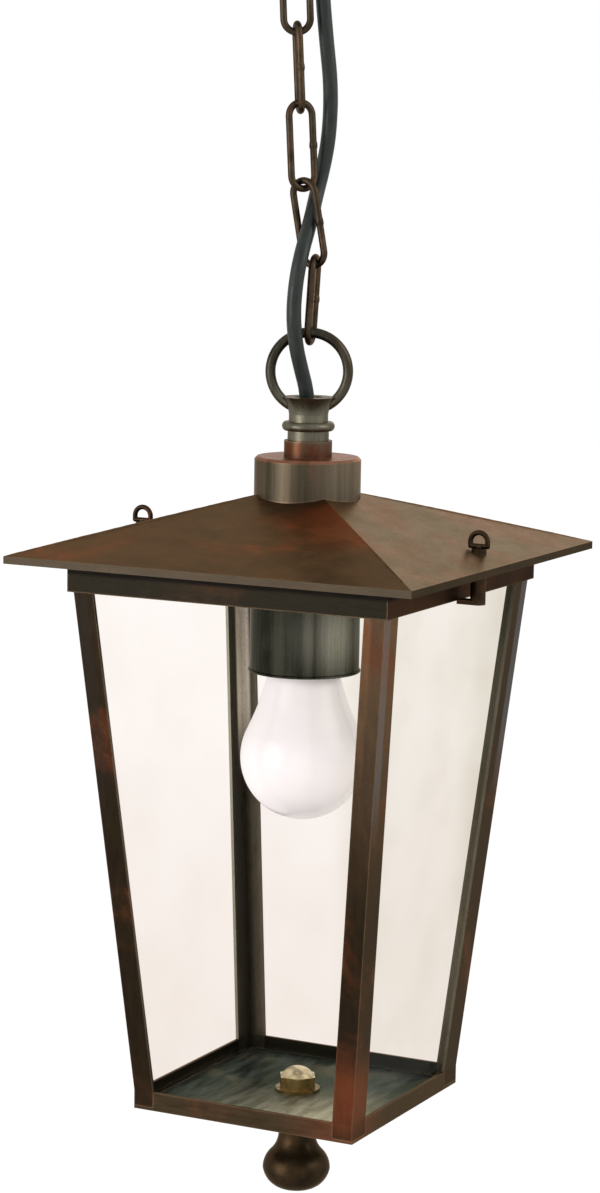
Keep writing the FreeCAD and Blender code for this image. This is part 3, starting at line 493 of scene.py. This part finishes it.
def solder(name, lines, body, finish, thickness, rounding=0.3, lumps=0.0004, scale=500.0, seed=1.0):
    """A run of solder or weld along straight lines, as a plain mesh that rides on a body."""
    points = [point for line in lines for point in line]
    edges = [(2 * index, 2 * index + 1) for index in range(len(lines))]
    wire = bpy.data.meshes.new(name + "_lines")
    wire.from_pydata(points, edges, [])
    source = bpy.data.objects.new(name + "_lines", wire)
    scene.collection.objects.link(source)
    laid = source.modifiers.new("solder", "NODES")
    laid.node_group = solder_run
    given = {
        "Thickness": thickness,
        "End Rounding": rounding,
        "Lumps": lumps,
        "Lump Scale": scale,
        "Seed": seed,
        "Finish": finish,
    }
    for socket in solder_run.interface.items_tree:
        if socket.in_out == "INPUT" and socket.name in given:
            laid[socket.identifier] = given[socket.name]
    ready = source.evaluated_get(bpy.context.evaluated_depsgraph_get())
    mesh = bpy.data.meshes.new_from_object(ready)
    mesh.name = name
    piece = bpy.data.objects.new(name, mesh)
    scene.collection.objects.link(piece)
    bpy.data.objects.remove(source)
    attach(piece, body)
    return piece


# the diameter of a link's wire, half the length of its weld, and how far that stands out from it
LINK_WIRE = 0.0033
WELD_HALF = 0.0019
WELD_PROUD = 0.00028


def link_weld(number):
    """The butt weld half way down one leg of a link: the leg's middle, and the way that it runs."""
    mesh = nodes[links[number - 1]].data
    points = np.empty(len(mesh.vertices) * 3)
    mesh.vertices.foreach_get("co", points)
    points = points.reshape(-1, 3)
    middle = (points.max(axis=0) + points.min(axis=0)) / 2
    spread = np.linalg.svd(points - points.mean(axis=0), full_matrices=False)[2]
    downward, sideways = spread[0], spread[1]
    reach = np.abs((points - middle) @ sideways).max()
    leg = middle + sideways * (reach - LINK_WIRE / 2)
    return Vector(leg), Vector(downward)


for number in range(1, len(links) + 1):
    leg, downward = link_weld(number)
    weld = solder(
        f"link_weld_{number}",
        [(leg - downward * WELD_HALF, leg + downward * WELD_HALF)],
        f"link_{number}",
        chain_finish,
        thickness=LINK_WIRE / 2 + WELD_PROUD,
        rounding=0.16,
        lumps=0.0003,
        seed=float(number),
    )

# Supply cable
# Round mains cable with a black-green rubber sheath. It leaves the canopy through its grommet,
# runs beside the upper links, is laced through the fourth, and goes down the hanging ring.
CABLE_DIAMETER = 0.007
RING_TURN = math.radians(27.0)
# each point is across the ring, through the ring and up, in metres from the ceiling face
CABLE_ROUTE = (
    (0.0130, 0.0000, -0.0220),
    (0.0130, 0.0000, -0.0390),
    (0.0125, 0.0024, -0.0582),
    (0.0129, 0.0044, -0.0802),
    (0.0152, 0.0064, -0.1028),
    (0.0179, 0.0075, -0.1254),
    (0.0174, 0.0088, -0.1470),
    (0.0149, 0.0097, -0.1622),
    (0.0120, 0.0082, -0.1741),
    (0.0090, 0.0006, -0.1883),
    (0.0051, -0.0076, -0.2025),
    (0.0028, -0.0096, -0.2153),
    (0.0018, -0.0098, -0.2301),
    (0.0031, -0.0076, -0.2447),
    (0.0060, -0.0043, -0.2568),
    (0.0086, -0.0015, -0.2664),
    (0.00977, 0.0000, -0.2766),
)
across = Vector((math.cos(RING_TURN), math.sin(RING_TURN), 0.0))
through = Vector((-math.sin(RING_TURN), math.cos(RING_TURN), 0.0))
route_curve = bpy.data.curves.new("cable_route", "CURVE")
route_curve.dimensions = "3D"
route_curve.resolution_u = 24
spline = route_curve.splines.new("NURBS")
spline.points.add(len(CABLE_ROUTE) - 1)
for point, (along, away, height) in zip(spline.points, CABLE_ROUTE):
    point.co = (*(across * along + through * away + Vector((0, 0, height))), 1.0)
spline.order_u = 3
spline.use_endpoint_u = True
route_object = bpy.data.objects.new("cable_route", route_curve)
scene.collection.objects.link(route_object)
bpy.context.view_layer.update()
route_mesh = bpy.data.meshes.new_from_object(route_object)
route_line = np.array([vertex.co for vertex in route_mesh.vertices])
bpy.data.objects.remove(route_object)

runs = np.linalg.norm(np.diff(route_line, axis=0), axis=1)
distance = np.concatenate([[0.0], np.cumsum(runs)])
CABLE_BODIES = ("ceiling", "link_1", "link_2", "link_3", "link_4", "link_5", "lantern")
RINGS_EACH = 30
stretch_count = len(CABLE_BODIES) - 1
stops = np.linspace(0.0, distance[-1], stretch_count * RINGS_EACH + 1)
cable_line = np.column_stack([np.interp(stops, distance, part) for part in route_line.T])
heading = np.gradient(cable_line, axis=0)
heading /= np.linalg.norm(heading, axis=1)[:, None]
sideways = [np.cross(heading[0], (0.0, 1.0, 0.0))]
for way in heading:
    carried = sideways[-1] - way * np.dot(sideways[-1], way)
    sideways.append(carried / np.linalg.norm(carried))
sideways = np.array(sideways[1:])

rubber, start, shader = new_finish("cable_rubber", Specular_IOR_Level=0.35)
flow = start.node("UVMap", {"uv_map": "along"}, {})
place = start.place()
dust = place.noise(90.0, detail=4.0, roughness=0.6).between(0.42, 0.72)
drawn_out = flow.node("Mapping", {}, {"Vector": flow, "Scale": (14.0, 90.0, 1.0)})
streaks = drawn_out.noise(1.0, detail=3.0)
grain = place.noise(2200.0, detail=2.0)
sheath = streaks.between(0.35, 0.7).mix(paint(22, 27, 23), paint(39, 46, 41))
start.feed(shader.inputs["Base Color"], (dust * 0.3).mix(sheath, paint(66, 75, 68)))
start.feed(shader.inputs["Roughness"], 0.42 + 0.2 * dust)
relief(shader, grain * 0.5 + streaks, strength=0.2)

SHEATH_SIDES = 28


def cable_stretch(name, first, last):
    """A closed tube round part of the cable's line, with a UV map that runs along it in metres."""
    mesh = bpy.data.meshes.new(name)
    shape = bmesh.new()
    layer = shape.loops.layers.uv.new("along")
    rings = []
    for step in range(first, last + 1):
        side, way = sideways[step], heading[step]
        other = np.cross(way, side)
        ring = []
        for turn in range(SHEATH_SIDES):
            angle = 2 * math.pi * turn / SHEATH_SIDES
            out = side * math.cos(angle) + other * math.sin(angle)
            ring.append(shape.verts.new(cable_line[step] + out * CABLE_DIAMETER / 2))
        rings.append(ring)
    for index in range(last - first):
        for turn in range(SHEATH_SIDES):
            after = (turn + 1) % SHEATH_SIDES
            corners = (
                (rings[index][turn], turn, index),
                (rings[index][after], turn + 1, index),
                (rings[index + 1][after], turn + 1, index + 1),
                (rings[index + 1][turn], turn, index + 1),
            )
            face = shape.faces.new([corner[0] for corner in corners])
            face.smooth = True
            for loop, (_, turned, stepped) in zip(face.loops, corners):
                loop[layer].uv = (turned / SHEATH_SIDES, stops[first + stepped])
    for cap in (rings[0][::-1], rings[-1]):
        for edge in shape.faces.new(cap).edges:
            edge.smooth = False
    bmesh.ops.recalc_face_normals(shape, faces=shape.faces)
    shape.to_mesh(mesh)
    shape.free()
    piece = bpy.data.objects.new(name, mesh)
    scene.collection.objects.link(piece)
    piece.data.materials.append(rubber)
    return piece


for number in range(stretch_count):
    first, last = number * RINGS_EACH, (number + 1) * RINGS_EACH
    stretch = cable_stretch(f"cable_stretch_{number + 1}", first, last)
    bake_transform(stretch)
    if number == 0:
        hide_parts("supply_cable")
dress(rubber, "stem_cable")

# Cable grommet
# A ring of black rubber pressed into the canopy's cable hole.
grommet_finish, start, shader = new_finish("grommet_rubber", Roughness=0.6)
place = start.place()
bloom = place.noise(240.0, detail=4.0).between(0.4, 0.75)
start.feed(shader.inputs["Base Color"], bloom.mix(paint(30, 31, 30), paint(52, 53, 51)))
relief(shader, place.noise(1800.0), strength=0.2)
dress(grommet_finish, "canopy_grommet")

# Hanging ring
# One brass casting: a ring on a turned foot that screws down on the stem and clamps the neck.
# The foot's bottom collar is rubbed to copper, and the cable goes in at its top.
hanger_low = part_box("hanger_loop")[0]
hanger_finish = aged_metal(
    "hanger_patina",
    paint(42, 40, 33),
    paint(78, 74, 63),
    paint(90, 50, 30),
    rubbed=0.35,
    rough=0.38,
    # a painted highlight round the middle of the foot
    pale=[((axis_x, axis_y, hanger_low.z + 0.018), 0.03, paint(122, 118, 102))],
    patch=45.0,
    brushed=(1.6, 1.6, 0.3),
    drift=(0.5, 0.0, 0.2),
    copper=(hanger_low.z + 0.009, hanger_low.z + 0.006),
)
dress(hanger_finish, "hanger_loop")

# Neck drum
# A spun cup set upside down over the hole in the roof, cut along its open edge to the four slopes.
neck_finish = aged_metal(
    "neck_patina",
    paint(50, 44, 35),
    paint(90, 79, 64),
    paint(146, 92, 70),
    rubbed=0.5,
    rough=0.34,
    # a painted highlight on the right of the drum's top
    pale=[((neck_high.x, axis_y, neck_high.z), 0.04, paint(118, 106, 88))],
    copper=(neck_high.z - 0.0022, neck_high.z - 0.0004),
    patch=30.0,
    brushed=(1.6, 1.6, 0.06),
    drift=(0.1, 0.6, 0.0),
)
dress(neck_finish, "neck_drum")

# Roof
# A low pyramid folded from one sheet of brass, soldered along its hips, with a turned-down lip.
# It is the most weathered piece: olive brown, with copper-red bands towards the hips and the neck.
roof_finish = aged_metal(
    "roof_patina",
    paint(68, 51, 33),
    paint(98, 73, 48),
    paint(144, 73, 40),
    rubbed=0.7,
    rough=0.4,
    patch=16.0,
    brushed=(0.5, 0.5, 2.2),
    contrast=0.8,
    # the right faces are painted lighter, as light falls on them
    right_face_light=(paint(92, 78, 54), paint(108, 78, 56)),
    # the lip is painted with light on its front faces and darker shade on its other upright faces
    lip=(paint(62, 54, 44), paint(40, 34, 26)),
    copper_hip=True,
)
dress(roof_finish, "roof")
roof_low, roof_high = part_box("roof")
eave_half = (roof_high.x - roof_low.x) / 2
# the solid's own sizes that the hips follow
LIP_HEIGHT = 0.0035
ROOF_TOP_HALF = 0.012
NECK_RADIUS = 0.0253
# how far the solder stops short of the neck and of the eave, and how far it sinks into a hip
NECK_GAP = 0.0006
EAVE_GAP = 0.0008
SEAM_SINK = 0.0004
roof_rise = (roof_high.z - roof_low.z - LIP_HEIGHT) / (eave_half - ROOF_TOP_HALF)


def roof_point(x_way, y_way, half):
    """A point just inside a hip of the roof, at a distance from the axis both ways."""
    height = roof_low.z + LIP_HEIGHT + (eave_half - half) * roof_rise
    return (axis_x + x_way * half, axis_y + y_way * half, height - SEAM_SINK)


CORNER_WAYS = ((1, -1), (1, 1), (-1, 1), (-1, -1))
hip_lines = []
for x_way, y_way in CORNER_WAYS:
    hip_top = roof_point(x_way, y_way, NECK_RADIUS * math.sqrt(0.5) + NECK_GAP)
    hip_foot = roof_point(x_way, y_way, eave_half - EAVE_GAP)
    hip_lines.append((hip_top, hip_foot))
hip_seams = solder(
    "roof_hip_seams",
    hip_lines,
    "lantern",
    roof_finish,
    thickness=0.0008,
    rounding=0.4,
    scale=260.0,
    seed=7.0,
)

# Roof latches
# Two bent-wire handles on stems through the eave, each in a small bush on the roof. A foot at the
# bottom of each stem turns under the top frame and holds the roof down.
latch_finish = aged_metal(
    "latch_patina",
    paint(38, 30, 22),
    paint(66, 50, 36),
    paint(104, 58, 38),
    rubbed=0.6,
    bright=0.3,
    rough=0.45,
    patch=70.0,
    drift=(0.2, 0.2, 0.7),
)
dress(latch_finish, "roof_latch_right", "roof_latch_left", "latch_bush_right", "latch_bush_left")

# Top frame
# Four brass rails soldered into a square, with a narrow shelf that runs out under the eave.
frame_finish = aged_metal(
    "frame_patina",
    paint(20, 18, 13),
    paint(30, 27, 20),
    paint(72, 45, 31),
    rubbed=0.4,
    bright=0.35,
    rough=0.33,
    sheen=(0.45, 0.4, 0.34, 1.0),
    patch=26.0,
    brushed=(0.6, 0.6, 5.0),
    contrast=1.0,
    drift=(0.4, 0.0, 0.9),
    # the right faces are painted lighter, as light falls on them
    right_face_light=(paint(48, 42, 32), paint(66, 48, 36)),
    # a painted shadow of the roof's eave along the top of the rails
    eave_shadow=(roof_low.z - 0.0065, roof_low.z - 0.0045, paint(12, 9, 7)),
    # the inner faces are painted lighter, for the light that they get inside the lantern
    inside=paint(48, 51, 43),
)
dress(frame_finish, "top_frame", "pane_clips")

# Corner posts
# Four angles of folded brass that lean out from the base to the top frame, soldered at both ends.
front_post_low, front_post_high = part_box("corner_post_front_right")
base_low, base_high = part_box("base_frame")
base_half = (base_high.x - base_low.x) / 2
post_top = (front_post_high.x, front_post_low.y, front_post_high.z)
post_foot = (base_high.x, base_low.y, base_high.z + 0.012)
post_finish = aged_metal(
    "post_patina",
    paint(32, 25, 17),
    paint(46, 36, 24),
    paint(106, 58, 35),
    rubbed=0.75,
    rough=0.32,
    patch=24.0,
    brushed=(3.0, 3.0, 0.6),
    contrast=1.0,
    drift=(0.9, 0.3, 0.1),
    # the inner faces are painted much lighter, for the light that they get inside the lantern
    inside=paint(98, 97, 86),
    # painted highlights: a broad one round the front right post's head, a small reddish one at its
    # foot
    pale=[(post_top, 0.17, paint(112, 86, 62)), (post_foot, 0.03, paint(116, 60, 37))],
    # a painted reflection of the white surroundings up each post's inner corner, near its head
    corner_reflection=(base_half, base_high.z, post_top[0] - axis_x, post_top[2], paint(250, 246, 232)),
)
posts = [f"corner_post_{side}" for side in ("front_right", "back_right", "back_left", "front_left")]
dress(post_finish, *posts)

# Glass panes
# Four tapered sheets of clear float glass that stand on the base plate behind the posts.
glass, start, shader = new_finish("clear_pane", Roughness=0.0, IOR=1.04, Transmission_Weight=1.0)
place = start.place()
pane_low, pane_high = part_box("glass_pane_front")
lower = 1 - place.part("Z").between(pane_low.z, pane_high.z)
haze = place.noise(26.0, detail=3.0).between(0.35, 0.75)
tint = (lower * 0.6 + haze * 0.25).mix(paint(254, 251, 249), paint(244, 238, 233))
# the right-hand pane is tinted a little darker
right_pane = place.part("X").between(pane_high.x - 0.03, pane_high.x - 0.01)
tint = (right_pane * (0.6 + 0.4 * haze)).mix(tint, paint(233, 229, 220))
start.feed(shader.inputs["Base Color"], tint)
lamp_ray = start.node("LightPath", {}, {}, output="Is Shadow Ray")
clear = start.node("BsdfTransparent", {}, {"Color": paint(250, 247, 244)})
pane = Shade(start.tree, shader.outputs[0])
surface = start.node("MixShader", {}, {0: lamp_ray, 1: pane, 2: clear})
output_node = glass.node_tree.nodes["Material Output"]
start.feed(output_node.inputs["Surface"], surface)
dress(glass, *[f"glass_pane_{side}" for side in ("front", "right", "back", "left")])
# no light is cut off by chance before it has met this many faces of glass or metal, because dark
# metal behind two panes would be speckled
PANE_FACES = 10
scene.cycles.min_light_bounces = PANE_FACES

# Base frame and base plate
# A low square tray edge soldered to the posts' feet. The plate lies in it on a narrow shelf.
base_finish = aged_metal(
    "base_patina",
    paint(46, 37, 26),
    paint(70, 57, 41),
    paint(104, 62, 40),
    rubbed=0.45,
    rough=0.32,
    # a reddish painted highlight at the front right corner
    pale=[((base_high.x, base_low.y, base_high.z), 0.045, paint(104, 62, 42))],
    patch=26.0,
    brushed=(0.6, 0.6, 5.0),
    contrast=1.0,
    drift=(0.0, 0.7, 0.3),
    # the inner faces are painted darker, as the shade that they get inside the lantern
    inside=paint(46, 51, 43),
)
dress(base_finish, "base_frame")
plate_finish = aged_metal(
    "plate_patina",
    paint(54, 63, 58),
    paint(94, 104, 98),
    paint(132, 132, 115),
    rubbed=0.8,
    # a painted pool of pale light on the front of the plate
    pale=[((axis_x + 0.035, axis_y - base_half, base_low.z), 0.085, paint(236, 233, 206))],
    rough=0.42,
    sheen=(0.42, 0.43, 0.36, 1.0),
    patch=26.0,
    brushed=(2.2, 0.4, 1.0),
    contrast=0.36,
    drift=(0.6, 0.6, 0.6),
)
dress(plate_finish, "base_plate")

# Cap nut, washer and lamp contacts
# Plain turned brass: the domed nut that clamps the finial's stud, and the lampholder's screw shell.
# The stud, the stem with its nuts and the holder's cap are zinc-plated steel like the bracket.
brass, start, shader = new_finish("plain_brass", Metallic=1.0)
place = start.place()
stain = place.noise(220.0, detail=4.0).between(0.4, 0.7)
nut_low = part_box("brass_cap_nut")[0]
# the upper faces of the brass above the nut's foot are painted with a cream highlight
highlit_top = start.facing().part("Z").between(0.2, 0.8)
highlit_top = highlit_top * place.part("Z").between(nut_low.z + 0.003, nut_low.z + 0.005)
dulled = stain.mix(paint(150, 129, 82), paint(108, 92, 57))
polished_highlight = highlit_top * (0.9 - 0.3 * stain)
start.feed(shader.inputs["Base Color"], polished_highlight.mix(dulled, paint(240, 228, 190)))
start.feed(shader.inputs["Roughness"], 0.3 + 0.16 * stain)
relief(shader, place.noise(1500.0), strength=0.12)
dress(brass, "brass_cap_nut", "nut_washer", "screw_shell", "centre_contact")
dress(zinc, "finial_stud", "stem_tube", "stem_nuts", "holder_cap")

# Finial
# A solid brass knob turned on a lathe, screwed on the stud below the base.
finial_finish = aged_metal(
    "finial_patina",
    paint(34, 27, 18),
    paint(62, 49, 33),
    paint(88, 60, 40),
    rubbed=0.4,
    rough=0.4,
    patch=50.0,
    drift=(0.8, 0.1, 0.5),
)
dress(finial_finish, "finial")

# Lamp cup and lampholder
# A deep cup of dark sheet metal round a porcelain lampholder, both on the stem under the roof.
cup_low, cup_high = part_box("lamp_cup")
cup_finish = aged_metal(
    "cup_patina",
    paint(36, 37, 31),
    paint(60, 61, 53),
    paint(92, 92, 80),
    rubbed=0.4,
    rough=0.32,
    sheen=(0.55, 0.55, 0.5, 1.0),
    # a painted highlight on the cup's right side, low down
    pale=[((cup_high.x, axis_y - 0.014, cup_low.z + 0.02), 0.028, paint(152, 153, 140))],
    patch=30.0,
    brushed=(1.8, 1.8, 0.04),
    contrast=0.44,
    drift=(0.3, 0.8, 0.2),
)
dress(cup_finish, "lamp_cup")
cup_radius = (cup_high.x - cup_low.x) / 2
CUP_RIM_WIRE = 0.0007
cup_bead = circle_profile(cup_radius, cup_low.z + CUP_RIM_WIRE, CUP_RIM_WIRE)
cup_rim = lathed("cup_rolled_rim", cup_bead, centre=(axis_x, axis_y))
cup_rim.data.materials.append(cup_finish)
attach(cup_rim, "lantern")
porcelain, start, shader = new_finish("porcelain_glaze", Roughness=0.18, Coat_Weight=0.4)
place = start.place()
shift = place.noise(90.0, detail=3.0).between(0.35, 0.7)
start.feed(shader.inputs["Base Color"], shift.mix(paint(232, 229, 220), paint(221, 216, 204)))
relief(shader, place.noise(320.0), strength=0.08, depth=0.0004)
dress(porcelain, "lampholder")

# Bulb
# A pear-shaped opal glass lamp screwed up into the holder.
opal, start, shader = new_finish(
    "opal_glass", Roughness=0.28, Coat_Weight=0.25, Coat_Roughness=0.08
)
place = start.place()
cloud = place.noise(36.0, detail=3.0).between(0.3, 0.7)
start.feed(shader.inputs["Base Color"], cloud.mix(paint(253, 252, 255), paint(248, 248, 255)))
dress(opal, "bulb")

# Studio floor
# A wide pale floor far below the hanging lantern, and the same white all round it.
FLOOR_DROP = 4.4
FLOOR_REACH = 40.0
floor_ways = ((-1, -1), (1, -1), (1, 1), (-1, 1))
floor_corners = [(x * FLOOR_REACH, y * FLOOR_REACH, -FLOOR_DROP) for x, y in floor_ways]
floor_mesh = bpy.data.meshes.new("studio_floor")
floor_mesh.from_pydata(floor_corners, [], [(0, 1, 2, 3)])
floor = bpy.data.objects.new("studio_floor", floor_mesh)
scene.collection.objects.link(floor)
floor_paint, start, shader = new_finish("floor_paint", Roughness=0.9, Specular_IOR_Level=0.0)
place = start.place()
wash = place.noise(0.6, detail=3.0).between(0.3, 0.7)
start.feed(shader.inputs["Base Color"], wash.mix(paint(236, 236, 235), paint(240, 240, 240)))


def seen_rays(start):
    """1 for what the eye, a mirror or a pane of glass sees, 0 for what only lights the object."""
    seen = start.node("LightPath", {}, {}, output="Is Camera Ray")
    seen = seen + start.node("LightPath", {}, {}, output="Is Glossy Ray")
    seen = seen + start.node("LightPath", {}, {}, output="Is Transmission Ray")
    return seen.least(1.0)


# the share of the floor's own look that glows, so that it is as white as what is round it
WHITE_SHARE = 0.85
WHITE_STRENGTH = 1.15
white = start.node("Emission", {}, {"Color": (1.0, 1.0, 1.0, 1.0), "Strength": WHITE_STRENGTH})
shaded = Shade(start.tree, shader.outputs[0])
surface = start.node("MixShader", {}, {0: seen_rays(start) * WHITE_SHARE, 1: shaded, 2: white})
start.feed(floor_paint.node_tree.nodes["Material Output"].inputs["Surface"], surface)
floor.data.materials.append(floor_paint)

world = bpy.data.worlds.new("studio_white")
scene.world = world
world.use_nodes = True
start = Shade(world.node_tree)
AMBIENT = 0.42
strength = AMBIENT + (1.0 - AMBIENT) * seen_rays(start)
background = world.node_tree.nodes["Background"]
background.inputs["Color"].default_value = (1.0, 1.0, 1.0, 1.0)
start.feed(background.inputs["Strength"], strength)

# Studio lamps
# Three broad soft lamps: on the lantern's right, in front on its left, and high behind the roof.
lantern_middle = Vector((axis_x, axis_y, (roof_low.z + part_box("finial")[0].z) / 2))


def soft_lamp(name, way, distance, size, watts):
    """A round lamp that faces the lantern, and that doesn't show through its panes."""
    lamp = bpy.data.lights.new(name, "AREA")
    lamp.shape = "DISK"
    lamp.size = size
    lamp.energy = watts
    holder = bpy.data.objects.new(name, lamp)
    scene.collection.objects.link(holder)
    holder.visible_transmission = False
    way = Vector(way).normalized()
    holder.location = lantern_middle + way * distance
    holder.rotation_euler = way.to_track_quat("Z", "Y").to_euler()


soft_lamp("lamp_right", way=(0.95, 0.1, 0.5), distance=2.2, size=1.2, watts=14.0)
soft_lamp("lamp_front_left", way=(-0.5, -0.9, 0.15), distance=2.4, size=1.4, watts=26.0)
soft_lamp("lamp_behind", way=(-0.13, 0.88, 0.5), distance=2.2, size=1.3, watts=4.0)

# Camera
# Level with the chain, a little to the lantern's right, looking slightly down.
# the eye is placed from the lantern's axis at the eave
EYE = Vector((axis_x, axis_y, roof_low.z)) + Vector((0.698442, -1.378897, 0.201136))
TURN, TILT, ROLL = (math.radians(angle) for angle in (26.9617, 8.1257, 0.9243))
back = Vector((math.sin(TURN) * math.cos(TILT), -math.cos(TURN) * math.cos(TILT), math.sin(TILT)))
level = Vector((math.cos(TURN), math.sin(TURN), 0.0))
upright = back.cross(level)
right = level * math.cos(ROLL) + upright * math.sin(ROLL)
top = upright * math.cos(ROLL) - level * math.sin(ROLL)
camera_data = bpy.data.cameras.new("camera")
camera_data.sensor_fit = "AUTO"
camera_data.sensor_width = 36.0
camera_data.lens = 98.98
camera_data.clip_start = 0.05
camera_data.clip_end = 100.0
camera = bpy.data.objects.new("camera", camera_data)
scene.collection.objects.link(camera)
turned = Matrix((right, top, back)).transposed().to_4x4()
camera.matrix_world = Matrix.Translation(EYE) @ turned
scene.camera = camera

scene.view_settings.view_transform = "Standard"
